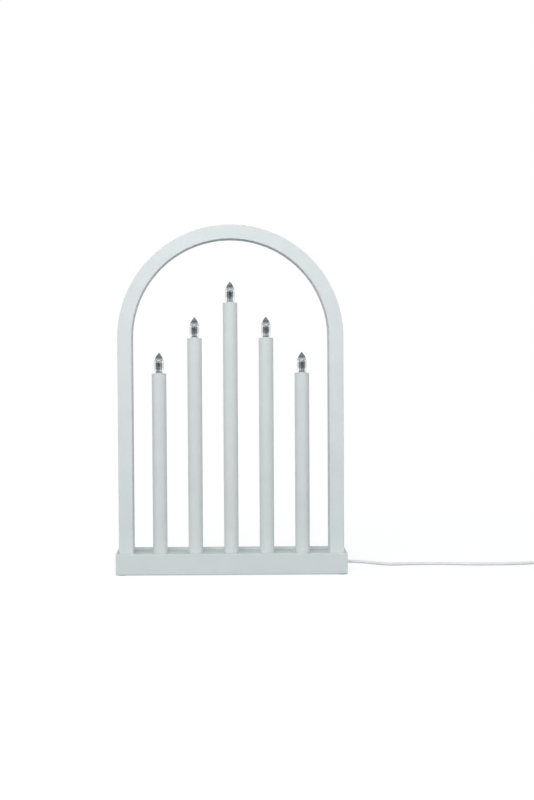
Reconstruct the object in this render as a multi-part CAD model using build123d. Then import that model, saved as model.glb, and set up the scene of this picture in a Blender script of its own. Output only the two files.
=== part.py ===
from build123d import *
import math
import os

# A five-light electric candle arch on a plinth with a tray top, in millimetres.
# The origin is on the table under the middle of the plinth. +X runs to the right along
# the plinth, -Y faces the viewer and +Z is up.

# How far a cut runs past the face that it opens
overcut = 1.0

# Plinth
plinth_width = 280.0
plinth_depth = 50.0
plinth_height = 25.0
plinth_edge_radius = 0.8
tray_rim = 3.0
tray_depth = 3.0
tray_corner_radius = 3.0
rim_edge_radius = 0.5

# Foot pads
pad_radius = 5.0
pad_thickness = 1.0
pad_inset = 2.0

# Wiring channel and its cover
channel_end_wall = 28.0
channel_width = 26.0
channel_height = 9.5
channel_corner_radius = 4.0
cover_ledge = 6.0
cover_thickness = 3.0
cover_clearance = 0.3
cover_screw_inset = 8.0

# Arch
arch_bar = 17.2
arch_crown_gap = 51.1
arch_depth = 30.0
arch_edge_radius = 1.0
arch_side_clearance = 0.3
arch_screw_spacing = 16.0
dowel_radius = 3.0
dowel_length = 14.0
dowel_clearance = 0.1
dowel_end_room = 0.5

# Wood screws, countersunk
arch_screw_length = 42.0
arch_screw_radius = 1.75
arch_screw_head_radius = 3.5
cover_screw_length = 10.0
cover_screw_radius = 1.25
cover_screw_head_radius = 2.4
screw_clearance = 0.1
screw_sink = 0.3
screw_tip_share = 1.6
cross_recess_depth = 0.9
cross_recess_width = 0.7

# Candle tubes
candle_count = 5
candle_leg_spacing = 32.3
candle_mouth_wall = 1.5
candle_shoulder = 0.5
candle_top_middle = 329.0
candle_top_step = 43.0
candle_seat_depth = 5.0
candle_seat_clearance = 0.15
wire_hole_radius = 6.0

# Lamp holder inside the tube top, heights counted down from the tube's rim
holder_top = 0.6
holder_length = 23.4
holder_rim_wall = 0.98
holder_clearance = 0.1
holder_skirt_wall = 1.5
holder_floor = 1.5

# Threaded socket shell and foot contact
thread_pitch = 1.814
thread_core_radius = 4.255
thread_ridge = 0.51
thread_rib = 0.38
thread_clearance = 0.21
shell_wall = 0.35
shell_top = 1.2
shell_foot_room = 0.7
shell_flange = 0.9
shell_rib_top_room = 2.2
shell_rib_foot_room = 1.0
shell_tab_width = 2.4
shell_clearance = 0.1
contact_disc_radius = 3.2
contact_thickness = 0.5
contact_arm_width = 1.8
contact_pin_radius = 0.7
contact_gap = 0.1

# Lamp, heights counted up from the tube's rim
lamp_height = 25.7
lamp_radius = 6.0
lamp_belly_height = 9.2
lamp_shoulder_radius = 4.62
lamp_shoulder_drop = 6.9
lamp_tip_radius = 0.8
lamp_tip_half_angle = 40.0
lamp_neck_radius = 5.1
lamp_neck_flare = 0.15
lamp_neck_wall = 1.2
lamp_bore_height = 15.5
lamp_bore_cone = 2.0
collar_clearance = 0.37
collar_top = 1.4
collar_sink = 2.0
cap_length = 9.5
cap_wall = 0.5
cap_floor = 0.5
cap_hole_radius = 2.2
cap_ridge_top_room = 0.9
cap_ridge_foot_room = 0.5
cap_fill_clearance = 0.1
post_radius = 1.1
post_flare_radius = 3.0
post_flare_height = 2.6
post_top_gap = 0.5
post_bore_gap = 0.55
post_disc_thickness = 0.7
strip_count = 8
strip_width = 1.1
strip_depth = 0.5
foot_insulator = 0.7
foot_pip_radius = 1.5
foot_pip_end_radius = 1.2
foot_pip_height = 1.4
foot_clearance = 0.1

# Wires, all single cores
wire_radius = 0.8
wire_skirt_gap = 0.6
wire_bend = 3.0
jumper_ceiling_gap = 0.6
lead_wall_gap = 3.2
wire_hole_clearance = 0.1

# Terminal block
block_length = 18.0
block_depth = 10.0
block_height = 5.4
block_bore_height = 2.8
block_bore_spacing = 8.0
block_screw_radius = 1.2
block_screw_length = 1.6
block_screw_inset = 2.6
wire_end_gap = 1.0

# Mains cord
cord_diameter = 3.8
cord_ceiling_gap = 0.1
cord_bore_clearance = 0.3
sheath_end_room = 12.0
core_offset = 0.9
core_bend = 2.0
core_wall_gaps = (1.4, 4.0)
core_fan_starts = (4.0, 6.0)
core_fan_length = 8.0
core_fan_shifts = (1.3, 1.4)
core_fan_drops = (1.3, 3.0)
clamp_width = 8.0
clamp_side_gap = 1.0
clamp_floor = 1.2
clamp_clearance = 0.1
clamp_screw_inset = 4.0
clamp_screw_radius = 1.4
clamp_screw_head_radius = 2.6
clamp_screw_head_height = 1.6
clamp_screw_grip = 4.8
clamp_inset = 6.0
grommet_wall = 1.5
grommet_length = 8.0
grommet_flange_width = 1.5
grommet_flange_thickness = 1.2
grommet_clearance = 0.1

# Put-away coil of the cord, past the right end
coil_x = 418.0
coil_y = 2.0
coil_inner_radius = 15.4
coil_turn_gap = 1.2
coil_layer_gap = 0.7
coil_layer_half_turns = (5, 5, 5, 4)
tie_thickness = 0.7
tie_width = 9.0
tie_clearance = 0.3

# Moulded plug
plug_width = 35.0
plug_thickness = 13.7
plug_corner_radius = 6.0
plug_body_length = 20.0
plug_neck_width = 20.0
plug_neck_thickness = 11.0
plug_neck_radius = 5.0
plug_shoulder_length = 12.0
relief_length = 24.0
relief_radius = 3.9
relief_end_radius = 2.7
relief_throat_roundness = 0.9
relief_groove_count = 5
relief_groove_depth = 0.5
relief_groove_width = 1.6
pin_spacing = 18.6
pin_radius = 2.0
pin_length = 19.0
pin_core_radius = 1.5
pin_sleeve_radius = 1.9
pin_sleeve_length = 10.0
pin_seat_depth = 9.0
pin_clearance = 0.05

# Heights of the plinth that follow from the sizes above
plinth_bottom = pad_thickness
plinth_top = plinth_bottom + plinth_height
deck_top = plinth_top - tray_depth
cover_top = plinth_bottom + cover_thickness
channel_top = cover_top + channel_height
channel_length = plinth_width - 2 * channel_end_wall

# Sizes of the lamp and its holder that follow
thread_rib_radius = thread_core_radius + thread_clearance + thread_rib
shell_inner_radius = thread_core_radius + thread_ridge + thread_clearance
shell_outer_radius = shell_inner_radius + shell_wall
shell_flange_radius = shell_outer_radius + shell_flange
holder_ledge_radius = shell_flange_radius + shell_clearance
holder_radius = holder_ledge_radius + holder_rim_wall
holder_skirt_radius = holder_radius - holder_skirt_wall
holder_bottom = holder_top + holder_length
collar_radius = shell_inner_radius - collar_clearance
collar_bottom = -collar_sink
cap_bottom = collar_bottom - cap_length
foot_insulator_bottom = cap_bottom - foot_insulator
foot_pip_bottom = foot_insulator_bottom - foot_pip_height
shell_bottom = shell_foot_room - cap_bottom
contact_top = contact_gap - foot_pip_bottom
contact_bottom = contact_top + contact_thickness
wire_top = contact_bottom + holder_floor
wire_offset = holder_skirt_radius - wire_skirt_gap - wire_radius
lamp_bore_radius = lamp_neck_radius - lamp_neck_wall
post_top = lamp_bore_height - post_top_gap
post_disc_radius = lamp_bore_radius - post_bore_gap
strip_circle_radius = post_disc_radius - strip_depth / 2

# Sizes and places of the candles and the arch that follow
holder_bore = holder_radius + holder_clearance
candle_radius = holder_bore + candle_mouth_wall
candle_bore = holder_bore - candle_shoulder
candle_foot = deck_top - candle_seat_depth
arch_width = plinth_width - 2 * (tray_rim + arch_side_clearance)
arch_top = candle_top_middle + lamp_height + arch_crown_gap + arch_bar
leg_x = arch_width / 2 - arch_bar / 2
candle_pitch = (arch_width - 2 * (arch_bar + candle_leg_spacing)) / (candle_count - 1)
candle_places = [(number - (candle_count - 1) / 2) * candle_pitch for number in range(candle_count)]
candle_tops = [candle_top_middle - abs(x) / candle_pitch * candle_top_step for x in candle_places]

# Places of the wiring and the cord that follow
jumper_height = channel_top - jumper_ceiling_gap - wire_radius
lead_height = cover_top + block_bore_height
lead_lane = lead_wall_gap + wire_radius - channel_width / 2
core_lanes = [channel_width / 2 - gap - wire_radius for gap in core_wall_gaps]
block_x = (candle_places[-2] + candle_places[-1]) / 2
cord_radius = cord_diameter / 2
cord_height = channel_top - cord_ceiling_gap - cord_radius
clamp_x = channel_length / 2 - clamp_inset
clamp_length = channel_width - 2 * clamp_side_gap
clamp_bottom = cord_height - cord_radius - clamp_clearance - clamp_floor
clamp_screw_spacing = clamp_length - 2 * clamp_screw_inset
clamp_screw_end = channel_top + clamp_screw_grip
sheath_end = channel_length / 2 - sheath_end_room
grommet_radius = cord_radius + clamp_clearance + grommet_wall
grommet_flange_radius = grommet_radius + grommet_flange_width
cord_exit = plinth_width / 2
coil_pitch = cord_diameter + coil_turn_gap
coil_climb = cord_diameter + coil_layer_gap
coil_low = tie_thickness + tie_clearance + cord_radius
coil_outer_radius = coil_inner_radius + coil_layer_half_turns[0] * coil_pitch / 2
coil_start = (coil_x - cord_diameter, coil_y + coil_outer_radius, coil_low)

# Route of the free cord: out of the end face, down to the table and along it to the coil
cord_points = [
    (cord_exit, 0.0, cord_height),
    (158.0, 0.0, cord_height),
    (179.0, 7.0, 7.8),
    (204.0, 20.0, 3.4),
    (232.0, 28.5, cord_radius),
    (268.0, 30.5, cord_radius),
    (312.0, 26.5, cord_radius),
    (354.0, 28.0, cord_radius),
    (386.0, coil_start[1], coil_low),
    coil_start,
]


def box(x_low, x_high, y_low, y_high, z_low, z_high):
    """Plain block between two corners."""
    block = Box(x_high - x_low, y_high - y_low, z_high - z_low, align=(Align.MIN, Align.MIN, Align.MIN))
    return Pos(x_low, y_low, z_low) * block


def rod(x, y, z_low, z_high, radius):
    """Upright round bar."""
    bar = Cylinder(radius, z_high - z_low, align=(Align.CENTER, Align.CENTER, Align.MIN))
    return Pos(x, y, z_low) * bar


def cross_rod(x_low, x_high, y, z, radius):
    """Round bar along X."""
    return Plane((x_low, y, z), z_dir=(1, 0, 0)) * rod(0, 0, 0, x_high - x_low, radius)


def turned(*profile):
    """Solid turned about the Z axis from points (radius, height)."""
    return revolve(Plane.XZ * make_face(Polyline(*profile, close=True)), Axis.Z)


def rounded_block(length, depth, z_low, z_high, radius):
    """Block centred on the origin with rounded upright corners."""
    outline = Pos(0, 0, z_low) * RectangleRounded(length, depth, radius)
    return extrude(outline, amount=z_high - z_low)


def tube_along(points, radius, bend):
    """Round wire along straight runs joined by arcs."""
    path = FilletPolyline(*points, radius=bend)
    return sweep(Plane(path @ 0, z_dir=path % 0) * Circle(radius), path=path)


def save(name, *solids):
    """Write one node, which may hold several separate solids."""
    shape = solids[0] if len(solids) == 1 else Compound(children=list(solids))
    export_step(shape, os.path.join("parts", name + ".step"))


def countersunk(x, y, z, length, radius, head_radius):
    """Countersunk screw shape that points up from its flat head at z."""
    shape = turned(
        (0, z),
        (head_radius, z),
        (radius, z + head_radius - radius),
        (radius, z + length - screw_tip_share * radius),
        (0, z + length),
    )
    return Pos(x, y, 0) * shape


def countersunk_hole(x, y, z, length, radius, head_radius):
    """Hole for such a screw, with its clearance, open below the head."""
    wide = head_radius + screw_clearance
    hole = countersunk(x, y, z, length + screw_clearance, radius + screw_clearance, wide)
    return hole + rod(x, y, z - screw_sink - overcut, z, wide)


def cross_recess(x, y, z, reach):
    """Cross-shaped driver recess in a screw head whose flat is at z and faces down."""
    half = cross_recess_width / 2
    along = box(x - reach, x + reach, y - half, y + half, z, z + cross_recess_depth)
    across = box(x - half, x + half, y - reach, y + reach, z, z + cross_recess_depth)
    return along + across


def wood_screw(x, y, z, length, radius, head_radius):
    """Countersunk screw with its driver recess."""
    return countersunk(x, y, z, length, radius, head_radius) - cross_recess(x, y, z, head_radius / 2)


def arch_screw_places():
    return [(side * leg_x, along * arch_screw_spacing / 2) for side in (-1, 1) for along in (-1, 1)]


def cover_screw_places():
    """Four corners of the cover and the middle of its long sides, on the ledge."""
    end = channel_length / 2 + cover_ledge / 2
    edge = channel_width / 2 + cover_ledge / 2
    corners = [(side * end, along * (edge - cover_screw_inset)) for side in (-1, 1) for along in (-1, 1)]
    return corners + [(0, -edge), (0, edge)]


def clamp_screw_places():
    return [(clamp_x, side * clamp_screw_spacing / 2) for side in (-1, 1)]


def plinth():
    """Wooden plinth: tray in its top, wiring channel and cover rebate in its underside."""
    body = box(-plinth_width / 2, plinth_width / 2, -plinth_depth / 2, plinth_depth / 2,
               plinth_bottom, plinth_top)
    body = fillet(body.edges(), plinth_edge_radius)
    tray_length = plinth_width - 2 * tray_rim
    tray_width = plinth_depth - 2 * tray_rim
    body -= rounded_block(tray_length, tray_width, deck_top, plinth_top + overcut, tray_corner_radius)
    inner_rim = [edge for edge in body.edges().group_by(Axis.Z)[-1]
                 if abs(edge.center().X) < (tray_length + tray_rim) / 2
                 and abs(edge.center().Y) < (tray_width + tray_rim) / 2]
    body = fillet(inner_rim, rim_edge_radius)
    below = plinth_bottom - overcut
    body -= rounded_block(channel_length, channel_width, below, channel_top, channel_corner_radius)
    rebate_length = channel_length + 2 * cover_ledge
    rebate_width = channel_width + 2 * cover_ledge
    body -= rounded_block(rebate_length, rebate_width, below, cover_top, channel_corner_radius)
    for x in candle_places:
        body -= rod(x, 0, candle_foot, deck_top + overcut, candle_radius + candle_seat_clearance)
        body -= rod(x, 0, channel_top - overcut, candle_foot + overcut, wire_hole_radius)
    for side in (-1, 1):
        body -= rod(side * leg_x, 0, deck_top - dowel_length / 2 - dowel_end_room, deck_top + overcut,
                    dowel_radius + dowel_clearance)
    for x, y in arch_screw_places():
        body -= countersunk_hole(x, y, plinth_bottom + screw_sink, arch_screw_length, arch_screw_radius,
                                 arch_screw_head_radius)
    for x, y in cover_screw_places():
        end = plinth_bottom + screw_sink + cover_screw_length + screw_clearance
        body -= rod(x, y, cover_top - overcut, end, cover_screw_radius + screw_clearance)
    for x, y in clamp_screw_places():
        end = clamp_screw_end + screw_clearance
        body -= rod(x, y, channel_top - overcut, end, clamp_screw_radius + screw_clearance)
    body -= cross_rod(channel_length / 2 - overcut, cord_exit, 0, cord_height,
                      cord_radius + cord_bore_clearance)
    body -= cross_rod(cord_exit - grommet_length, cord_exit + overcut, 0, cord_height,
                      grommet_radius + grommet_clearance)
    body -= cross_rod(cord_exit - grommet_flange_thickness, cord_exit + overcut, 0, cord_height,
                      grommet_flange_radius + grommet_clearance)
    return body


def foot_pads():
    """Four round rubber pads under the corners of the plinth."""
    x = plinth_width / 2 - pad_inset - pad_radius
    y = plinth_depth / 2 - pad_inset - pad_radius
    return [rod(i * x, j * y, 0, pad_thickness, pad_radius) for i in (-1, 1) for j in (-1, 1)]


def bottom_cover():
    """Hardboard cover in the rebate, flush with the underside."""
    length = channel_length + 2 * (cover_ledge - cover_clearance)
    depth = channel_width + 2 * (cover_ledge - cover_clearance)
    cover = rounded_block(length, depth, plinth_bottom, cover_top, channel_corner_radius)
    for x, y in cover_screw_places():
        cover -= countersunk_hole(x, y, plinth_bottom + screw_sink, cover_screw_length, cover_screw_radius,
                                  cover_screw_head_radius)
    return cover


def arch_face(half_width, top):
    """Face of a round-topped arch that stands on the tray's deck."""
    spring = top - half_width
    left = Line((-half_width, deck_top), (-half_width, spring))
    crown = ThreePointArc((-half_width, spring), (0, top), (half_width, spring))
    right = Line((half_width, spring), (half_width, deck_top))
    foot = Line((half_width, deck_top), (-half_width, deck_top))
    return make_face([left, crown, right, foot])


def arch_frame():
    """One bar bent to a round-topped arch, with blind holes in its feet."""
    half_width = arch_width / 2
    band = arch_face(half_width, arch_top) - arch_face(half_width - arch_bar, arch_top - arch_bar)
    frame = extrude(Plane.XZ * band, amount=arch_depth / 2, both=True)
    long_edges = [edge for edge in frame.edges() if edge.center().Z > deck_top + arch_edge_radius]
    frame = fillet(long_edges, arch_edge_radius)
    for side in (-1, 1):
        frame -= rod(side * leg_x, 0, deck_top - overcut, deck_top + dowel_length / 2 + dowel_end_room,
                     dowel_radius + dowel_clearance)
    for x, y in arch_screw_places():
        frame -= countersunk_hole(x, y, plinth_bottom + screw_sink, arch_screw_length, arch_screw_radius,
                                  arch_screw_head_radius)
    return frame


def arch_dowels():
    """One grooveless dowel in each foot."""
    half = dowel_length / 2
    return [rod(side * leg_x, 0, deck_top - half, deck_top + half, dowel_radius) for side in (-1, 1)]


def candle_tube(x, top):
    """Candle tube with a wider bore at the top, whose shoulder carries the lamp holder."""
    tube = rod(x, 0, candle_foot, top, candle_radius)
    tube -= rod(x, 0, candle_foot - overcut, top + overcut, candle_bore)
    return tube - rod(x, 0, top - holder_bottom, top + overcut, holder_bore)


def shell_tab(low, high, grow):
    """Curved tab below the socket shell, or its slot when grown."""
    outer = shell_outer_radius + grow
    half = shell_tab_width / 2 + grow
    ring = rod(0, 0, low, high, outer) - rod(0, 0, low, high, shell_inner_radius - grow)
    return ring & box(-half, half, 0, outer, low, high)


def lampholder(x, top):
    """Insulating holder: bore for the socket shell, a floor for the contact and a skirt below it."""
    socket = shell_outer_radius + shell_clearance
    ledge_height = shell_top + shell_wall
    body = turned(
        (socket, -contact_bottom),
        (socket, -ledge_height),
        (holder_ledge_radius, -ledge_height),
        (holder_ledge_radius, -holder_top),
        (holder_radius, -holder_top),
        (holder_radius, -holder_bottom),
        (holder_skirt_radius, -holder_bottom),
        (holder_skirt_radius, -wire_top),
        (0, -wire_top),
        (0, -contact_bottom),
    )
    low = -wire_top - overcut
    high = -contact_bottom + overcut
    body -= shell_tab(low, high, shell_clearance)
    body -= rod(0, -wire_offset, low, high, contact_pin_radius + shell_clearance)
    return Pos(x, 0, top) * body


def helical_ridge(low, high, radius, thickness, turn_start):
    """Round ridge along a right-hand helix between two heights."""
    path = Helix(pitch=thread_pitch, height=high - low, radius=radius)
    ridge = sweep(Plane(path @ 0, z_dir=path % 0) * Circle(thickness), path=path, is_frenet=True)
    return Pos(0, 0, low) * Rot(0, 0, turn_start) * ridge


def helix_turn(height):
    """Turn, in degrees, of the lamp's ridge line at a height."""
    return 360 * height / thread_pitch


def socket_shell(x, top):
    """Threaded shell with a top flange, an inner rib between the lamp's ridges and a tab for its wire."""
    outer = shell_outer_radius
    body = turned(
        (shell_inner_radius, -shell_bottom),
        (outer, -shell_bottom),
        (outer, -shell_top - shell_wall),
        (shell_flange_radius, -shell_top - shell_wall),
        (shell_flange_radius, -shell_top),
        (shell_inner_radius, -shell_top),
    )
    rib_low = shell_rib_foot_room - shell_bottom
    rib_high = -shell_top - shell_rib_top_room
    half_pitch_on = helix_turn(rib_low - thread_pitch / 2)
    body += helical_ridge(rib_low, rib_high, thread_rib_radius, thread_rib, half_pitch_on)
    body += shell_tab(-wire_top, -shell_bottom, 0)
    return Pos(x, 0, top) * body


def socket_contact(x, top):
    """Foot contact: a disc on the holder's floor with an arm and a pin down to its wire."""
    body = rod(0, 0, -contact_bottom, -contact_top, contact_disc_radius)
    half = contact_arm_width / 2
    body += box(-half, half, -wire_offset - contact_pin_radius, 0, -contact_bottom, -contact_top)
    body += rod(0, -wire_offset, -wire_top, -contact_bottom, contact_pin_radius)
    return Pos(x, 0, top) * body


def lamp_envelope(x, top):
    """Clear pointed envelope: a belly, a solid tip and a bore that ends in a cone."""
    slope = math.radians(lamp_tip_half_angle)
    tip_middle = lamp_height - lamp_tip_radius
    round_start = (lamp_tip_radius * math.cos(slope), tip_middle + lamp_tip_radius * math.sin(slope))
    outside = Spline(
        (lamp_neck_radius, collar_top),
        (lamp_radius, lamp_belly_height),
        (lamp_shoulder_radius, lamp_height - lamp_shoulder_drop),
        round_start,
        tangents=[(lamp_neck_flare, 1), (-math.sin(slope), math.cos(slope))],
    )
    inside = Polyline(
        (0, lamp_height),
        (0, lamp_bore_height + lamp_bore_cone),
        (lamp_bore_radius, lamp_bore_height),
        (lamp_bore_radius, collar_top),
        (lamp_neck_radius, collar_top),
    )
    tip = CenterArc((0, tip_middle), lamp_tip_radius, lamp_tip_half_angle, 90 - lamp_tip_half_angle)
    return Pos(x, 0, top) * revolve(Plane.XZ * make_face([outside, tip, inside]), Axis.Z)


def lamp_stem(x, top):
    """White collar that fills the cap, with a post and upright light strips inside the envelope."""
    fill_radius = thread_core_radius - cap_wall - cap_fill_clearance
    fill_bottom = cap_bottom + cap_floor + cap_fill_clearance
    body = turned(
        (0, fill_bottom),
        (fill_radius, fill_bottom),
        (fill_radius, collar_bottom),
        (collar_radius, collar_bottom),
        (collar_radius, collar_top),
        (post_flare_radius, collar_top),
        (post_radius, collar_top + post_flare_height),
        (post_radius, post_top - post_disc_thickness),
        (post_disc_radius, post_top - post_disc_thickness),
        (post_disc_radius, post_top),
        (0, post_top),
    )
    for number in range(strip_count):
        strip = box(-strip_depth / 2, strip_depth / 2, -strip_width / 2, strip_width / 2,
                    collar_top, post_top - post_disc_thickness)
        turn = Rot(0, 0, 360 * (number + 0.5) / strip_count)
        body += turn * Pos(strip_circle_radius, 0, 0) * strip
    return Pos(x, 0, top) * body


def lamp_cap(x, top):
    """Thin screw cap with a round thread ridge and a hole in its floor for the foot contact."""
    inner = thread_core_radius - cap_wall
    body = turned(
        (cap_hole_radius, cap_bottom),
        (thread_core_radius, cap_bottom),
        (thread_core_radius, collar_bottom),
        (inner, collar_bottom),
        (inner, cap_bottom + cap_floor),
        (cap_hole_radius, cap_bottom + cap_floor),
    )
    ridge_low = cap_bottom + cap_ridge_foot_room
    ridge_high = collar_bottom - cap_ridge_top_room
    body += helical_ridge(ridge_low, ridge_high, thread_core_radius, thread_ridge, helix_turn(ridge_low))
    return Pos(x, 0, top) * body


def lamp_foot(x, top):
    """Insulator disc and solder pip at the bottom of the cap."""
    disc = cap_hole_radius - foot_clearance
    body = turned(
        (0, cap_bottom + cap_floor),
        (disc, cap_bottom + cap_floor),
        (disc, foot_insulator_bottom),
        (foot_pip_radius, foot_insulator_bottom),
        (foot_pip_end_radius, foot_pip_bottom),
        (0, foot_pip_bottom),
    )
    return Pos(x, 0, top) * body


def series_wires():
    """Wires from lamp to lamp along the channel, and the two leads to the terminal block."""
    ups = [top - wire_top for top in candle_tops]
    wires = []
    for number in range(candle_count - 1):
        last = number == candle_count - 2
        end_y = wire_offset if last else -wire_offset
        start_x = candle_places[number]
        end_x = candle_places[number + 1]
        wires.append(tube_along([
            (start_x, wire_offset, ups[number]),
            (start_x, wire_offset, jumper_height),
            (end_x, end_y, jumper_height),
            (end_x, end_y, ups[number + 1]),
        ], wire_radius, wire_bend))
    for number, bore in ((0, -1), (candle_count - 1, 1)):
        x = candle_places[number]
        bore_x = block_x + bore * block_bore_spacing / 2
        step = 2 * wire_bend if bore_x > x else -2 * wire_bend
        wires.append(tube_along([
            (x, -wire_offset, ups[number]),
            (x, -wire_offset, lead_height),
            (x + step, lead_lane, lead_height),
            (bore_x, lead_lane, lead_height),
            (bore_x, -wire_end_gap, lead_height),
        ], wire_radius, wire_bend / 2))
    return wires


def terminal_block():
    """Two-pole terminal block that lies on the cover, with a cross bore for each pole."""
    half = block_length / 2
    top = cover_top + block_height
    body = box(block_x - half, block_x + half, -block_depth / 2, block_depth / 2, cover_top, top)
    body = fillet(body.edges().filter_by(Axis.Z), wire_radius)
    bore = wire_radius + wire_hole_clearance
    for pole in (-1, 1):
        x = block_x + pole * block_bore_spacing / 2
        start = Plane((x, -block_depth / 2 - overcut, lead_height), z_dir=(0, 1, 0))
        body -= start * rod(0, 0, 0, block_depth + 2 * overcut, bore)
        for side in (-1, 1):
            y = side * (block_depth / 2 - block_screw_inset)
            body -= rod(x, y, lead_height, top + overcut, block_screw_radius + screw_clearance)
    return body


def terminal_screws():
    """Slotted clamping screws over the wire ends."""
    low = lead_height + wire_radius + wire_hole_clearance
    top = low + block_screw_length
    screws = []
    for pole in (-1, 1):
        for side in (-1, 1):
            x = block_x + pole * block_bore_spacing / 2
            y = side * (block_depth / 2 - block_screw_inset)
            screw = rod(x, y, low, top, block_screw_radius)
            reach = block_screw_radius + overcut
            half = cross_recess_width / 2
            middle = low + block_screw_length / 2
            screws.append(screw - box(x - reach, x + reach, y - half, y + half, middle, top + overcut))
    return screws


def cord_inside():
    """Sheathed cord from the end face to past its clamp, and its two cores to the terminal block."""
    sheath = cross_rod(sheath_end, cord_exit, 0, cord_height, cord_radius)
    far_x = block_x - block_bore_spacing / 2
    near_x = block_x + block_bore_spacing / 2
    cores = []
    for number, (side, bore_x) in enumerate(((1, far_x), (-1, near_x))):
        fan_x = sheath_end - core_fan_starts[number]
        fan_y = side * core_offset + core_fan_shifts[number]
        lane = core_lanes[number]
        cores.append(tube_along([
            (sheath_end, side * core_offset, cord_height),
            (fan_x, fan_y, cord_height - core_fan_drops[number]),
            (fan_x - core_fan_length, lane, lead_height),
            (bore_x, lane, lead_height),
            (bore_x, wire_end_gap, lead_height),
        ], wire_radius, core_bend))
    return [sheath] + cores


def cord_clamp():
    """Block screwed to the channel's ceiling, with a groove that holds the cord."""
    body = box(clamp_x - clamp_width / 2, clamp_x + clamp_width / 2, -clamp_length / 2, clamp_length / 2,
               clamp_bottom, channel_top)
    groove = cord_radius + clamp_clearance
    body -= cross_rod(clamp_x - clamp_width, clamp_x + clamp_width, 0, cord_height, groove)
    high = channel_top + overcut
    body -= box(clamp_x - clamp_width, clamp_x + clamp_width, -groove, groove, cord_height, high)
    for x, y in clamp_screw_places():
        body -= rod(x, y, clamp_bottom - overcut, high, clamp_screw_radius + screw_clearance)
    return body


def cord_clamp_screws():
    """Pan-head screws up through the clamp into the deck."""
    head_low = clamp_bottom - clamp_screw_head_height
    screws = []
    for x, y in clamp_screw_places():
        screw = rod(x, y, head_low, clamp_bottom, clamp_screw_head_radius)
        screw += rod(x, y, clamp_bottom, clamp_screw_end, clamp_screw_radius)
        screws.append(screw - cross_recess(x, y, head_low, clamp_screw_head_radius / 2))
    return screws


def cord_grommet():
    """Flanged bush that lines the cord's hole, flush with the end face."""
    inner_end = cord_exit - grommet_length
    bush = cross_rod(inner_end, cord_exit, 0, cord_height, grommet_radius)
    bush += cross_rod(cord_exit - grommet_flange_thickness, cord_exit, 0, cord_height, grommet_flange_radius)
    return bush - cross_rod(inner_end - overcut, cord_exit + overcut, 0, cord_height,
                            cord_radius + clamp_clearance)


def bend_radii(points):
    """Largest arc that each corner of a route has room for."""
    radii = []
    for before, corner, after in zip(points, points[1:], points[2:]):
        arrive = Vector(*corner) - Vector(*before)
        leave = Vector(*after) - Vector(*corner)
        turn = math.radians(arrive.get_angle(leave))
        radii.append(0.45 * min(arrive.length, leave.length) / math.tan(turn / 2))
    return radii


def cord_tube(name, points):
    """Free cord along a route, with its radii and volume printed."""
    radii = bend_radii(points)
    path = FilletPolyline(*points, radius=radii)
    tube = sweep(Plane(path @ 0, z_dir=path % 0) * Circle(cord_radius), path=path)
    section = math.pi * cord_radius ** 2
    print(name, "length", round(path.length, 1), "radii", [round(r, 1) for r in radii],
          "volume share", round(tube.volume / (section * path.length), 4))
    return tube


def coil_stations():
    """Points at the back and front of the coil, in turn, where its half turns meet."""
    radius = coil_outer_radius
    height = coil_low
    side = 1
    stations = [(coil_y + side * radius, height)]
    for layer, half_turns in enumerate(coil_layer_half_turns):
        if layer:
            height += coil_climb
            side = -side
            stations.append((coil_y + side * radius, height))
        step = coil_pitch / 2 if layer % 2 else -coil_pitch / 2
        for _ in range(half_turns):
            radius += step
            side = -side
            stations.append((coil_y + side * radius, height))
    return [Vector(coil_x, y, z) for y, z in stations]


def coil_path():
    """Straight lead-in, half turns clockwise from above, and a straight lead-out."""
    stations = coil_stations()
    straight = Vector(cord_diameter, 0, 0)
    edges = [Line(stations[0] - straight, stations[0])]
    for number, (start, end) in enumerate(zip(stations, stations[1:])):
        reach = (end - start).length / 2
        way = -1 if number % 2 else 1
        middle = (start + end) / 2 + Vector(way * reach, 0, 0)
        edges.append(ThreePointArc(start, middle, end))
    edges.append(Line(stations[-1], stations[-1] + straight))
    return edges


def least_coil_gap(edges):
    """Least gap between stretches of the coil that are over half a turn apart, measured on points."""
    steps = 24
    marks = [(number + k / steps, edge @ (k / steps))
             for number, edge in enumerate(edges) for k in range(steps)]
    gaps = [(p - q).length for i, (a, p) in enumerate(marks) for b, q in marks[i + 1:] if b - a > 1.0]
    return min(gaps) - cord_diameter


def cord_coil():
    """The put-away length, wound as one unbroken tube in layers."""
    edges = coil_path()
    path = Wire(edges)
    tube = sweep(Plane(edges[0] @ 0, z_dir=edges[0] % 0) * Circle(cord_radius), path=path)
    section = math.pi * cord_radius ** 2
    print("coil length", round(path.length, 1), "least gap", round(least_coil_gap(edges), 2),
          "volume share", round(tube.volume / (section * path.length), 4))
    return tube


def tail_points():
    """Route from the coil's top layer down to the plug, which lies on the table."""
    end = coil_stations()[-1]
    plug_height = plug_thickness / 2
    return [
        (end.X + cord_diameter, end.Y, end.Z),
        (end.X + 18.0, end.Y, end.Z),
        (end.X + 34.0, end.Y - 2.0, (end.Z + plug_height) / 2),
        (end.X + 50.0, end.Y - 3.0, plug_height),
        (end.X + 64.0, end.Y - 3.0, plug_height),
    ]


def cord_tie():
    """Strap around the bundle at the front of the coil."""
    radius = cord_radius + tie_clearance
    top = coil_low + (len(coil_layer_half_turns) - 1) * coil_climb + radius
    y_low = coil_y - coil_outer_radius - radius
    half = tie_width / 2
    y_high = coil_y - math.sqrt((coil_inner_radius - cord_radius) ** 2 - half ** 2) + tie_clearance
    hole = box(coil_x - half, coil_x + half, y_low, y_high, tie_thickness, top)
    hole = fillet(hole.edges().filter_by(Axis.X), radius)
    strap = box(coil_x - half, coil_x + half, y_low - tie_thickness, y_high + tie_thickness,
                0, top + tie_thickness)
    return fillet(strap.edges().filter_by(Axis.X), radius + tie_thickness) - hole


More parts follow.
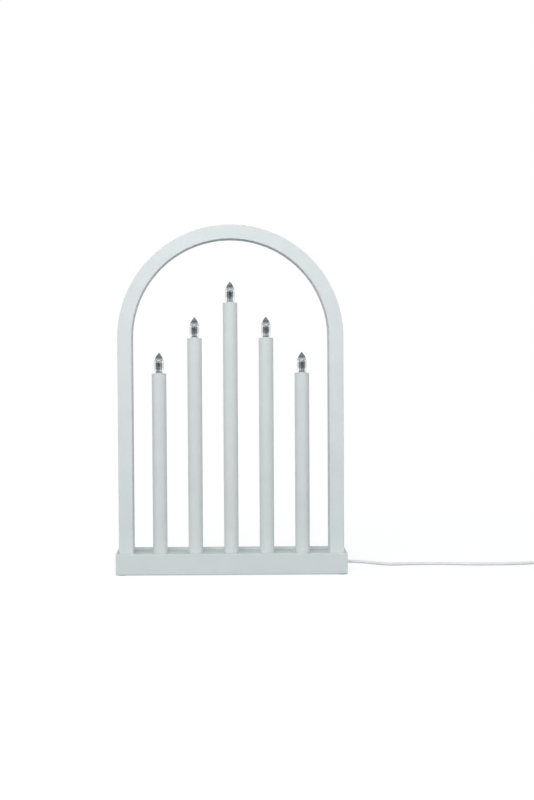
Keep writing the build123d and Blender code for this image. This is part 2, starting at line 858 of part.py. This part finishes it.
def plug_station(x, width, height, radius):
    """Rounded outline across the plug, x along the cord."""
    return Plane((x, 0, 0), x_dir=(0, 1, 0), z_dir=(1, 0, 0)) * RectangleRounded(width, height, radius)


def plug_place():
    return Pos(*tail_points()[-1])


def plug_body():
    """Flat moulded plug: ribbed strain relief, shoulder, body and the sleeves of its pins."""
    neck = relief_length + plug_shoulder_length
    face = neck + plug_body_length
    relief = Plane.YZ * turned(
        (0, 0),
        (relief_end_radius, 0),
        (relief_radius, relief_length),
        (relief_radius, relief_length + plug_shoulder_length / 2),
        (0, relief_length + plug_shoulder_length / 2),
    )
    pitch = relief_length / (relief_groove_count + 1)
    for number in range(relief_groove_count):
        middle = (number + 1) * pitch
        wall = relief_end_radius + (relief_radius - relief_end_radius) * middle / relief_length
        low = middle - relief_groove_width / 2
        high = middle + relief_groove_width / 2
        groove = cross_rod(low, high, 0, 0, 2 * relief_radius)
        relief -= groove - cross_rod(low, high, 0, 0, wall - relief_groove_depth)
    throat = 2 * relief_radius
    throat_corner = relief_throat_roundness * relief_radius
    shoulder = loft([
        plug_station(relief_length, throat, throat, throat_corner),
        plug_station(neck, plug_neck_width, plug_neck_thickness, plug_neck_radius),
    ])
    body = loft([
        plug_station(neck, plug_neck_width, plug_neck_thickness, plug_neck_radius),
        plug_station(face, plug_width, plug_thickness, plug_corner_radius),
    ])
    whole = relief + shoulder + body
    for side in (-1, 1):
        y = side * pin_spacing / 2
        sleeve_end = face + pin_sleeve_length
        whole += cross_rod(face, sleeve_end, y, 0, pin_sleeve_radius)
        whole -= cross_rod(face - pin_seat_depth, sleeve_end + overcut, y, 0, pin_core_radius + pin_clearance)
    return plug_place() * whole


def plug_pins():
    """Two round pins, thinner inside their sleeves, with rounded ends."""
    face = relief_length + plug_shoulder_length + plug_body_length
    pins = []
    for side in (-1, 1):
        y = side * pin_spacing / 2
        tip = cross_rod(face + pin_sleeve_length, face + pin_length, y, 0, pin_radius)
        tip = fillet(tip.edges().sort_by(Axis.X)[-1], pin_radius / 2)
        core = cross_rod(face - pin_seat_depth, face + pin_sleeve_length, y, 0, pin_core_radius)
        pins.append(plug_place() * (tip + core))
    return pins


def main():
    os.makedirs("parts", exist_ok=True)
    save("plinth", plinth())
    save("foot_pads", *foot_pads())
    save("bottom_cover", bottom_cover())
    save("bottom_cover_screws", *[wood_screw(x, y, plinth_bottom + screw_sink, cover_screw_length,
                                             cover_screw_radius, cover_screw_head_radius)
                                  for x, y in cover_screw_places()])
    save("arch_frame", arch_frame())
    save("arch_dowels", *arch_dowels())
    save("arch_screws", *[wood_screw(x, y, plinth_bottom + screw_sink, arch_screw_length,
                                     arch_screw_radius, arch_screw_head_radius)
                          for x, y in arch_screw_places()])
    for number, (x, top) in enumerate(zip(candle_places, candle_tops), start=1):
        save(f"candle_tube_{number}", candle_tube(x, top))
        save(f"lampholder_{number}", lampholder(x, top))
        save(f"socket_shell_{number}", socket_shell(x, top))
        save(f"bulb_{number}_envelope", lamp_envelope(x, top))
        save(f"bulb_{number}_stem", lamp_stem(x, top))
        save(f"bulb_{number}_cap", lamp_cap(x, top))
        save(f"bulb_{number}_contact", lamp_foot(x, top))
    save("socket_contacts", *[socket_contact(x, top) for x, top in zip(candle_places, candle_tops)])
    save("series_wires", *series_wires())
    save("terminal_block", terminal_block())
    save("terminal_screws", *terminal_screws())
    save("mains_cord_inside", *cord_inside())
    save("cord_clamp", cord_clamp())
    save("cord_clamp_screws", *cord_clamp_screws())
    save("cord_grommet", cord_grommet())
    save("mains_cord", cord_tube("cord", cord_points))
    save("cord_coil", cord_coil())
    save("cord_tail", cord_tube("tail", tail_points()))
    save("cord_tie", cord_tie())
    save("plug_body", plug_body())
    save("plug_pins", *plug_pins())


main()
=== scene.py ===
import math

import bpy
from mathutils import Matrix, Vector


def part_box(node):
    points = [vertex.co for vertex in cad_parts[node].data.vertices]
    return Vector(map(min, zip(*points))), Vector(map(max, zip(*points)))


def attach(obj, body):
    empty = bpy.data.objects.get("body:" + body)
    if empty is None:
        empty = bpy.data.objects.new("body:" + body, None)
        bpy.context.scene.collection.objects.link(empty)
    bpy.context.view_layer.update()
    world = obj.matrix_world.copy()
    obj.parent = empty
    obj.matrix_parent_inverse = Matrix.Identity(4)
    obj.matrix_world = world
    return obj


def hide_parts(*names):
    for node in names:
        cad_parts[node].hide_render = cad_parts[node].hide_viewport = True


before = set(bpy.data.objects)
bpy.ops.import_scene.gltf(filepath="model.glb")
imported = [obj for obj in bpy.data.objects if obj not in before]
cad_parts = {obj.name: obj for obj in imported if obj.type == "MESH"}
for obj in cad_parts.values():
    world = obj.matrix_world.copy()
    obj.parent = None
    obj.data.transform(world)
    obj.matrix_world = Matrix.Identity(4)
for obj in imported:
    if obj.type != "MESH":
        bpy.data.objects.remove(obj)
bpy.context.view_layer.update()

# All sizes are in metres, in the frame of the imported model.

# Camera that fits the edges of the plinth, legs and candles, with its place in pixels of the picture
image_width = 534
image_height = 800
focal_pixels = 1201.2
principal_point = (220.69, 362.51)
camera_place = (-0.00826, -1.4661, 0.2949)
camera_pitch = 0.0264
camera_yaw = -0.0024
camera_roll = 0.0064
sensor_size = 36.0

# Cord: its free route and the sizes of its put-away coil
cord_diameter = 0.0038
cord_round_steps = 5
cord_line_steps = 6
cord_exit = (0.140, 0.0, 0.0115)
coil_centre = (0.418, 0.002)
coil_inner_radius = 0.0154
coil_pitch = 0.005
coil_climb = 0.0045
coil_low = 0.0029
coil_layer_half_turns = (5, 5, 5, 4)
coil_points_per_half_turn = 8
coil_outer_radius = coil_inner_radius + coil_layer_half_turns[0] * coil_pitch / 2
coil_back = coil_centre[1] + coil_outer_radius
plug_end = (0.482, 0.0244, 0.00685)
free_route = [
    cord_exit,
    (0.157, 0.0, 0.0113),
    (0.175, 0.0085, 0.0077),
    (0.195, 0.0225, 0.0031),
    (0.220, 0.0318, 0.0019),
    (0.258, 0.0325, 0.0019),
    (0.308, 0.0265, 0.0019),
    (0.354, 0.028, 0.0019),
    (0.386, coil_back, coil_low),
    (coil_centre[0] - cord_diameter, coil_back, coil_low),
]


def srgb(red, green, blue):
    """Linear colour, with alpha, of an 8-bit display colour."""
    def linear(value):
        value = value / 255
        return value / 12.92 if value <= 0.04045 else ((value + 0.055) / 1.055) ** 2.4
    return linear(red), linear(green), linear(blue), 1.0


# Lamp: colours up its post, its light strips and its envelope, by height above the tube's rim
lamp_count = 5
post_colours = [
    (0.0014, srgb(228, 232, 232)),
    (0.0026, srgb(238, 240, 241)),
    (0.0034, srgb(252, 252, 252)),
    (0.0046, srgb(250, 251, 251)),
    (0.0056, srgb(170, 174, 178)),
    (0.0122, srgb(150, 154, 160)),
    (0.0138, srgb(244, 246, 247)),
]
strip_colours = [
    (0.0014, srgb(228, 232, 232)),
    (0.00145, srgb(120, 124, 128)),
    (0.0027, srgb(124, 128, 132)),
    (0.0034, srgb(214, 217, 219)),
    (0.0046, srgb(214, 217, 219)),
    (0.0056, srgb(140, 144, 149)),
    (0.0122, srgb(140, 144, 151)),
    (0.0138, srgb(244, 246, 247)),
]
strip_inside = 0.0022
# The envelope's grey tint, darkest just below the tip, is painted shade for the lamp's dark look.
envelope_shade_colours = [
    (0.0050, srgb(250, 251, 252)),
    (0.0070, srgb(216, 219, 221)),
    (0.0126, srgb(210, 213, 215)),
    (0.0142, srgb(242, 243, 244)),
    (0.0158, srgb(244, 245, 246)),
    (0.0172, srgb(180, 183, 185)),
    (0.0186, srgb(112, 115, 117)),
    (0.0204, srgb(98, 101, 103)),
    (0.0216, srgb(150, 153, 155)),
    (0.0234, srgb(232, 234, 235)),
]
envelope_refraction = 1.49
envelope_rough = (0.015, 0.05)
envelope_haze_cells = 900.0
envelope_ripple_cells = 350.0
envelope_ripple_stretch = (1, 1, 0.3)
envelope_ripple = 10e-6
stem_rough = (0.25, 0.45)
stem_cells = 2500.0
stem_grain = 4e-6

# Finishes: the part of its range that noise fills, where an edge begins, and cells of edge tint a metre
noise_detail = 3.0
noise_span = (0.3, 0.7)
edge_span = (0.8, 0.98)
edge_tint_cells = 140.0
white = (1.0, 1.0, 1.0, 1.0)
black = (0.0, 0.0, 0.0, 1.0)
unit_span = (0.0, 1.0)
box_middle = 0.5

# Sockets of a node that mixes colours
mix_factor = 0
mix_first = 6
mix_second = 7
mix_result = 2

# Studio: soft lamps in front and behind, light from round the horizon, a white background, a pale floor
horizon_light = 2.06
sky_colour = (0.99, 1.0, 1.015, 1.0)
overhead_light = 0.1
back_light_share = 0.2
room_front = 0.12
room_span = (-0.1, 0.5)
direction_span = (-1.0, 1.0)
floor_colour = srgb(152, 154, 155)
floor_roughness = 0.9
floor_glow = 0.80
painted_shadow_share = 0.76
floor_size = 6.0
floor_fade = (0.4, 1.0)
lamp_target = (0.0, 0.0, 0.3)
front_lamp_place = (-0.3, -1.1, 1.2)
front_lamp_size = 1.0
front_lamp_power = 7.4
front_lamp_colour = (1.0, 0.99, 0.97)
back_lamp_place = (0.0, 2.1, 0.35)
back_lamp_size = 0.8
back_lamp_power = 18.0
back_lamp_colour = (1.0, 1.0, 1.0)


def add_object(name, data):
    """New object in the scene."""
    thing = bpy.data.objects.new(name, data)
    bpy.context.scene.collection.objects.link(thing)
    return thing


def make_camera():
    """Camera at the photograph's viewing angle."""
    data = bpy.data.cameras.new("camera")
    data.sensor_width = sensor_size
    data.lens = focal_pixels / image_height * sensor_size
    data.shift_x = (image_width / 2 - principal_point[0]) / image_height
    data.shift_y = (principal_point[1] - image_height / 2) / image_height
    camera = add_object("camera", data)
    turn = Matrix.Rotation(-camera_yaw, 4, "Z")
    turn @= Matrix.Rotation(math.pi / 2 - camera_pitch, 4, "X")
    turn @= Matrix.Rotation(-camera_roll, 4, "Z")
    camera.matrix_world = Matrix.Translation(camera_place) @ turn
    bpy.context.scene.camera = camera


# The cord's line

def coil_stations():
    """Points at the back and front of the coil, in turn, where its half turns meet."""
    radius = coil_outer_radius
    height = coil_low
    side = 1
    stations = [(coil_centre[1] + radius, height)]
    for layer, half_turns in enumerate(coil_layer_half_turns):
        if layer:
            height += coil_climb
            side = -side
            stations.append((coil_centre[1] + side * radius, height))
        step = coil_pitch / 2 if layer % 2 else -coil_pitch / 2
        for _ in range(half_turns):
            radius += step
            side = -side
            stations.append((coil_centre[1] + side * radius, height))
    return [Vector((coil_centre[0], y, z)) for y, z in stations]


def coil_route():
    """Control points of the coil, clockwise from above, just outside the line that they draw."""
    step = math.pi / coil_points_per_half_turn
    points = []
    stations = coil_stations()
    for number, (start, end) in enumerate(zip(stations, stations[1:])):
        middle = (start + end) / 2
        arm = (start - middle) / math.cos(step / 2)
        way = Vector((-1 if number % 2 else 1, 0, 0)) * arm.length
        for k in range(coil_points_per_half_turn):
            turn = (k + 0.5) * step
            rise = (end - start) * ((k + 0.5) / coil_points_per_half_turn)
            point = middle + arm * math.cos(turn) + way * math.sin(turn)
            points.append((point.x, point.y, start.z + rise.z))
    return points


def tail_route():
    """Route from the coil's top layer down to the plug, which lies on the floor."""
    end = coil_stations()[-1]
    return [
        (end.x + cord_diameter, end.y, end.z),
        (end.x + 0.018, end.y, end.z),
        (end.x + 0.034, end.y - 0.002, (end.z + plug_end[2]) / 2),
        (end.x + 0.050, end.y - 0.003, plug_end[2]),
        plug_end,
    ]


def make_cord(material):
    """The whole cord as one smooth line, from the end face to the plug."""
    points = free_route + coil_route() + tail_route()
    curve = bpy.data.curves.new("cord", "CURVE")
    curve.dimensions = "3D"
    curve.bevel_depth = cord_diameter / 2
    curve.bevel_resolution = cord_round_steps
    curve.resolution_u = cord_line_steps
    spline = curve.splines.new("NURBS")
    spline.points.add(len(points) - 1)
    for target, place in zip(spline.points, points):
        target.co = (*place, 1.0)
    spline.order_u = 3
    spline.use_endpoint_u = True
    cord = add_object("cord", curve)
    curve.materials.append(material)
    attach(cord, "stand")
    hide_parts("mains_cord", "cord_coil", "cord_tail")


# Nodes that the finishes and the studio share

def new_material(name):
    """Empty material with its node tree and main shader."""
    material = bpy.data.materials.new(name)
    material.use_nodes = True
    tree = material.node_tree
    return material, tree, tree.nodes["Principled BSDF"]


def add_node(tree, kind, **inputs):
    """New node with some of its inputs set by name, spaces written as underscores."""
    node = tree.nodes.new("ShaderNode" + kind)
    for name, value in inputs.items():
        node.inputs[name.replace("_", " ")].default_value = value
    return node


def coordinates(tree, kind):
    """Place of the point that is shaded, in one of the kinds of texture coordinates."""
    return add_node(tree, "TexCoord").outputs[kind]


def axes(tree, vector):
    """The X, Y and Z of a vector."""
    node = add_node(tree, "SeparateXYZ")
    tree.links.new(vector, node.inputs["Vector"])
    return node.outputs


def vector_length(tree, vector):
    """How long a vector is."""
    node = add_node(tree, "VectorMath")
    node.operation = "LENGTH"
    tree.links.new(vector, node.inputs[0])
    return node.outputs["Value"]


def combine(tree, operation, first, second):
    """Result of a math operation on two linked values."""
    node = add_node(tree, "Math")
    node.operation = operation
    tree.links.new(first, node.inputs[0])
    tree.links.new(second, node.inputs[1])
    return node.outputs["Value"]


def product(tree, first, second):
    """One linked value times another."""
    return combine(tree, "MULTIPLY", first, second)


def remap(tree, value, source, target):
    """A value moved from the source span to the target span, and held at its ends."""
    node = add_node(tree, "MapRange", From_Min=source[0], From_Max=source[1],
                    To_Min=target[0], To_Max=target[1])
    tree.links.new(value, node.inputs["Value"])
    return node.outputs["Result"]


def mix_colours(tree, first, second, value):
    """Colour between two others, each a constant or a link: the first at 0 and the second at 1."""
    node = add_node(tree, "Mix")
    node.data_type = "RGBA"
    for number, colour in ((mix_first, first), (mix_second, second)):
        if isinstance(colour, tuple):
            node.inputs[number].default_value = colour
        else:
            tree.links.new(colour, node.inputs[number])
    tree.links.new(value, node.inputs[mix_factor])
    return node.outputs[mix_result]


def seen_rays(tree, kinds=("Is Camera Ray", "Is Glossy Ray", "Is Transmission Ray")):
    """One for rays that show the background: from the camera, in gloss and through clear pieces."""
    path = add_node(tree, "LightPath")
    most = path.outputs[kinds[0]]
    for kind in kinds[1:]:
        most = combine(tree, "MAXIMUM", most, path.outputs[kind])
    return most


# Finishes

def noise(tree, scale, stretch=(1, 1, 1)):
    """Noise over the rest shape, with scale cells a metre, times stretch along each axis."""
    mapping = add_node(tree, "Mapping", Scale=tuple(scale * s for s in stretch))
    texture = add_node(tree, "TexNoise", Scale=1.0, Detail=noise_detail)
    tree.links.new(coordinates(tree, "Object"), mapping.inputs["Vector"])
    tree.links.new(mapping.outputs["Vector"], texture.inputs["Vector"])
    return texture.outputs["Fac"]


def bump(tree, shader, *layers):
    """Surface relief from layers of noise, each with its height."""
    normal = None
    for value, height in layers:
        node = add_node(tree, "Bump", Strength=1.0, Distance=height)
        tree.links.new(value, node.inputs["Height"])
        if normal:
            tree.links.new(normal, node.inputs["Normal"])
        normal = node.outputs["Normal"]
    tree.links.new(normal, shader.inputs["Normal"])


def surface(name, first, second, rough, cells, heights, metallic=0.0, stretch=(1, 1, 1), specular=0.5):
    """Finish with mottled colour, uneven gloss and two layers of relief: broad waves and fine grain."""
    material, tree, shader = new_material(name)
    broad = noise(tree, cells[0])
    fine = noise(tree, cells[1], stretch)
    colour = mix_colours(tree, first, second, remap(tree, broad, noise_span, unit_span))
    tree.links.new(colour, shader.inputs["Base Color"])
    tree.links.new(remap(tree, fine, noise_span, rough), shader.inputs["Roughness"])
    bump(tree, shader, (broad, heights[0]), (fine, heights[1]))
    shader.inputs["Metallic"].default_value = metallic
    shader.inputs["Specular IOR Level"].default_value = specular
    return material


def edge_and_corner_mask(tree, radius):
    """One on the outer edges and inner corners of a piece, fading to zero within a radius of them."""
    rounded = add_node(tree, "Bevel", Radius=radius)
    true = add_node(tree, "NewGeometry")
    match = add_node(tree, "VectorMath")
    match.operation = "DOT_PRODUCT"
    tree.links.new(rounded.outputs["Normal"], match.inputs[0])
    tree.links.new(true.outputs["Normal"], match.inputs[1])
    return remap(tree, match.outputs["Value"], edge_span, (1.0, 0.0))


def wear_and_corner_tint(material, colour, radius, amount):
    """Mixes the base colour towards another one along outer edges and inner corners, here more and there
    less: on outer edges it is wear, and where it darkens inner corners it is painted shade.
    """
    tree = material.node_tree
    base = tree.nodes["Principled BSDF"].inputs["Base Color"]
    before = base.links[0].from_socket
    patches = remap(tree, noise(tree, edge_tint_cells), noise_span, (0.0, amount))
    tinted = mix_colours(tree, before, colour, product(tree, edge_and_corner_mask(tree, radius), patches))
    tree.links.new(tinted, base)


def dress(material, *names):
    """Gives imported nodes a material."""
    for name in names:
        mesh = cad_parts[name].data
        mesh.materials.clear()
        mesh.materials.append(material)


def numbered(*patterns):
    """Names of nodes that every lamp has, for all the lamps."""
    return [pattern.format(number + 1) for pattern in patterns for number in range(lamp_count)]


def wood_paint(name, stretch):
    """Matt white paint, rolled on, with the wood just showing through, thin along the outer edges and
    darker in its inner corners, where the darkening is painted shade.
    """
    material = surface(name, srgb(221, 228, 228), srgb(217, 224, 225), rough=(0.55, 0.7),
                       cells=(40.0, 900.0), heights=(40e-6, 6e-6), stretch=stretch, specular=0.2)
    wear_and_corner_tint(material, srgb(206, 209, 205), radius=0.0012, amount=0.35)
    return material


def dress_woodwork():
    """Paint on the plinth and arch, and bare wood, board and rubber under and in them."""
    dress(wood_paint("plinth paint", (0.25, 1, 1)), "plinth")
    dress(wood_paint("arch paint", (1, 1, 1)), "arch_frame")
    beech = surface("beech", srgb(214, 180, 134), srgb(190, 152, 106), rough=(0.5, 0.7),
                    cells=(150.0, 1800.0), heights=(20e-6, 10e-6), stretch=(1, 1, 0.05))
    dress(beech, "arch_dowels")
    board = surface("hardboard", srgb(122, 92, 62), srgb(98, 72, 48), rough=(0.6, 0.8),
                    cells=(260.0, 1500.0), heights=(20e-6, 30e-6), stretch=(0.3, 1, 1), specular=0.3)
    wear_and_corner_tint(board, srgb(150, 122, 90), radius=0.001, amount=0.8)
    dress(board, "bottom_cover")
    rubber = surface("pad rubber", srgb(232, 234, 232), srgb(222, 225, 223), rough=(0.6, 0.75),
                     cells=(200.0, 2200.0), heights=(10e-6, 10e-6), specular=0.3)
    dress(rubber, "foot_pads")


def rise_colours(tree, node, stops):
    """Colour that changes with the height above the tube's rim, along a lamp piece like the given node."""
    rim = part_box("candle_tube_1")[1][2]
    low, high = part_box(node)
    ramp = add_node(tree, "ValToRGB")
    points = ramp.color_ramp.elements
    while len(points) < len(stops):
        points.new(1.0)
    for point, (height, colour) in zip(points, stops):
        point.position = (rim + height - low[2]) / (high[2] - low[2])
        point.color = colour
    tree.links.new(axes(tree, coordinates(tree, "Generated"))["Z"], ramp.inputs["Fac"])
    return ramp.outputs["Color"]


def outside_radius(tree, node, radius):
    """One further than a radius from the axis of a lamp piece like the given node, and zero within it."""
    low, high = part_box(node)
    across = add_node(tree, "Mapping", Location=(-box_middle, -box_middle, 0), Scale=(1, 1, 0))
    tree.links.new(coordinates(tree, "Generated"), across.inputs["Vector"])
    mask = add_node(tree, "Math")
    mask.operation = "GREATER_THAN"
    mask.inputs[1].default_value = radius / (high[0] - low[0])
    tree.links.new(vector_length(tree, across.outputs["Vector"]), mask.inputs[0])
    return mask.outputs["Value"]


def lamp_stem():
    """White moulded collar and post, with grey light strips round it."""
    material, tree, shader = new_material("lamp stem")
    post = rise_colours(tree, "bulb_1_stem", post_colours)
    strips = rise_colours(tree, "bulb_1_stem", strip_colours)
    colour = mix_colours(tree, post, strips, outside_radius(tree, "bulb_1_stem", strip_inside))
    tree.links.new(colour, shader.inputs["Base Color"])
    fine = noise(tree, stem_cells)
    tree.links.new(remap(tree, fine, noise_span, stem_rough), shader.inputs["Roughness"])
    bump(tree, shader, (fine, stem_grain))
    return material


def clear_lamp():
    """Clear moulded plastic, tinted grey over its belly and darkest just below the tip as painted shade,
    with a faint flow ripple.
    """
    material, tree, shader = new_material("clear lamp")
    colour = rise_colours(tree, "bulb_1_envelope", envelope_shade_colours)
    tree.links.new(colour, shader.inputs["Base Color"])
    shader.inputs["Transmission Weight"].default_value = 1.0
    shader.inputs["IOR"].default_value = envelope_refraction
    haze = noise(tree, envelope_haze_cells)
    tree.links.new(remap(tree, haze, noise_span, envelope_rough), shader.inputs["Roughness"])
    ripple = noise(tree, envelope_ripple_cells, envelope_ripple_stretch)
    bump(tree, shader, (ripple, envelope_ripple))
    return material


def dress_candles():
    """Moulded candle tubes and the lamps on them."""
    candle = surface("candle plastic", srgb(219, 225, 224), srgb(215, 221, 219), rough=(0.34, 0.46),
                     cells=(60.0, 1400.0), heights=(20e-6, 8e-6), stretch=(1, 1, 0.03))
    # Darker along the edges: wear on outer edges, painted shade in inner corners.
    wear_and_corner_tint(candle, srgb(208, 212, 206), radius=0.0006, amount=0.4)
    dress(candle, *numbered("candle_tube_{}"))
    dress(lamp_stem(), *numbered("bulb_{}_stem"))
    dress(clear_lamp(), *numbered("bulb_{}_envelope"))


def dress_metal():
    """Brass, plated and zinc-coated pieces, with their drawing or turning marks."""
    brass = surface("brass", srgb(205, 172, 106), srgb(188, 150, 88), rough=(0.22, 0.4),
                    cells=(300.0, 3000.0), heights=(4e-6, 4e-6), metallic=1.0, stretch=(0.05, 0.05, 1))
    dress(brass, *numbered("socket_shell_{}"), "socket_contacts")
    plated = surface("plated metal", srgb(190, 188, 180), srgb(172, 170, 162), rough=(0.2, 0.36),
                     cells=(300.0, 3000.0), heights=(4e-6, 3e-6), metallic=1.0, stretch=(0.05, 0.05, 1))
    dress(plated, *numbered("bulb_{}_cap", "bulb_{}_contact"))
    pins = surface("pin metal", srgb(196, 194, 188), srgb(178, 176, 170), rough=(0.18, 0.34),
                   cells=(300.0, 3000.0), heights=(4e-6, 3e-6), metallic=1.0, stretch=(0.05, 1, 1))
    dress(pins, "plug_pins")
    steel = surface("zinc steel", srgb(176, 178, 178), srgb(150, 153, 152), rough=(0.28, 0.45),
                    cells=(250.0, 2500.0), heights=(6e-6, 4e-6), metallic=1.0)
    wear_and_corner_tint(steel, srgb(206, 206, 200), radius=0.0004, amount=0.7)
    dress(steel, "bottom_cover_screws", "arch_screws", "terminal_screws", "cord_clamp_screws")


def dress_wiring():
    """Plastics of the lamp holders, cord fittings, terminal block and wires."""
    holder = surface("holder plastic", srgb(216, 219, 216), srgb(208, 212, 208), rough=(0.45, 0.6),
                     cells=(90.0, 2500.0), heights=(10e-6, 6e-6))
    dress(holder, *numbered("lampholder_{}"), "cord_clamp", "cord_grommet")
    nylon = surface("block nylon", srgb(226, 226, 216), srgb(214, 214, 204), rough=(0.4, 0.55),
                    cells=(120.0, 2500.0), heights=(10e-6, 6e-6))
    dress(nylon, "terminal_block")
    wire = surface("wire plastic", srgb(232, 234, 234), srgb(222, 225, 226), rough=(0.3, 0.45),
                   cells=(150.0, 2400.0), heights=(8e-6, 4e-6))
    dress(wire, "series_wires", "mains_cord_inside")


def dress_cord():
    """The cord, and the finishes of the pieces on it."""
    sheath = surface("cord plastic", srgb(252, 253, 254), srgb(247, 249, 251), rough=(0.36, 0.5),
                     cells=(150.0, 2200.0), heights=(10e-6, 6e-6))
    make_cord(sheath)
    plug = surface("plug plastic", srgb(232, 236, 238), srgb(224, 229, 231), rough=(0.42, 0.56),
                   cells=(120.0, 2600.0), heights=(10e-6, 10e-6))
    # Darker along the edges: wear on outer edges, painted shade in inner corners.
    wear_and_corner_tint(plug, srgb(212, 214, 212), radius=0.0008, amount=0.4)
    dress(plug, "plug_body")
    tie = surface("tie plastic", srgb(228, 230, 230), srgb(218, 221, 221), rough=(0.35, 0.5),
                  cells=(200.0, 2400.0), heights=(10e-6, 8e-6))
    dress(tie, "cord_tie")


# Studio

def under_plinth(tree, place):
    """One on the floor under the plinth, zero elsewhere."""
    low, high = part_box("plinth")
    parts = axes(tree, place)
    inside = []
    for number, axis in enumerate("XY"):
        node = add_node(tree, "Math")
        node.operation = "COMPARE"
        node.inputs[1].default_value = (low[number] + high[number]) / 2
        node.inputs[2].default_value = (high[number] - low[number]) / 2
        tree.links.new(parts[axis], node.inputs[0])
        inside.append(node.outputs["Value"])
    return product(tree, *inside)


def floor_finish():
    """Pale surface that keeps the object's shadow near it, glows less under the plinth's footprint as a
    painted shadow there, and is plain white further out.
    """
    material, tree, shader = new_material("floor")
    shader.inputs["Roughness"].default_value = floor_roughness
    shader.inputs["Specular IOR Level"].default_value = 0.0
    shader.inputs["Emission Color"].default_value = white
    place = coordinates(tree, "Object")
    far = remap(tree, vector_length(tree, place), floor_fade, unit_span)
    glow = remap(tree, far, unit_span, (floor_glow, 1.0))
    # Painted shadow: the floor's glow is turned down under the plinth, so the gap beneath it reads dark.
    shade = remap(tree, under_plinth(tree, place), unit_span, (1.0, painted_shadow_share))
    seen = seen_rays(tree)
    shown = product(tree, product(tree, seen, glow), shade)
    tree.links.new(shown, shader.inputs["Emission Strength"])
    colour = mix_colours(tree, floor_colour, black, product(tree, seen, far))
    tree.links.new(colour, shader.inputs["Base Color"])
    return material


def make_floor():
    """Wide floor that the object stands on."""
    half = floor_size / 2
    corners = [(-half, -half, 0), (half, -half, 0), (half, half, 0), (-half, half, 0)]
    mesh = bpy.data.meshes.new("floor")
    mesh.from_pydata(corners, [], [(0, 1, 2, 3)])
    floor = add_object("floor", mesh)
    mesh.materials.append(floor_finish())


def make_world():
    """White background, a dark room in front of it that gloss shows, and a soft light from the sides."""
    world = bpy.data.worlds.new("studio")
    bpy.context.scene.world = world
    world.use_nodes = True
    tree = world.node_tree
    background = tree.nodes["Background"]
    seen = seen_rays(tree)
    tree.links.new(mix_colours(tree, sky_colour, white, seen), background.inputs["Color"])
    parts = axes(tree, coordinates(tree, "Generated"))
    room = remap(tree, parts["Y"], room_span, (room_front, 1.0))
    shown = combine(tree, "MAXIMUM", seen_rays(tree, ("Is Camera Ray", "Is Transmission Ray")), room)
    rise = remap(tree, parts["Z"], unit_span, (horizon_light, overhead_light))
    depth = remap(tree, parts["Y"], direction_span, (1.0, back_light_share))
    strength = add_node(tree, "Mix")
    tree.links.new(seen, strength.inputs["Factor"])
    tree.links.new(product(tree, rise, depth), strength.inputs["A"])
    tree.links.new(shown, strength.inputs["B"])
    tree.links.new(strength.outputs["Result"], background.inputs["Strength"])


def add_area(name, place, size, power, colour):
    """Soft square lamp that faces the object and doesn't show by itself."""
    data = bpy.data.lights.new(name, "AREA")
    data.size = size
    data.energy = power
    data.color = colour
    lamp = add_object(name, data)
    lamp.location = place
    lamp.rotation_euler = (Vector(lamp_target) - Vector(place)).to_track_quat("-Z", "Y").to_euler()
    lamp.visible_camera = False
    lamp.visible_transmission = False
    lamp.visible_glossy = False


def light():
    """The studio's world and its two lamps."""
    make_world()
    add_area("front", front_lamp_place, front_lamp_size, front_lamp_power, front_lamp_colour)
    add_area("back", back_lamp_place, back_lamp_size, back_lamp_power, back_lamp_colour)


bpy.context.scene.view_settings.view_transform = "Standard"
make_camera()
dress_cord()
dress_woodwork()
dress_candles()
dress_metal()
dress_wiring()
make_floor()
light()
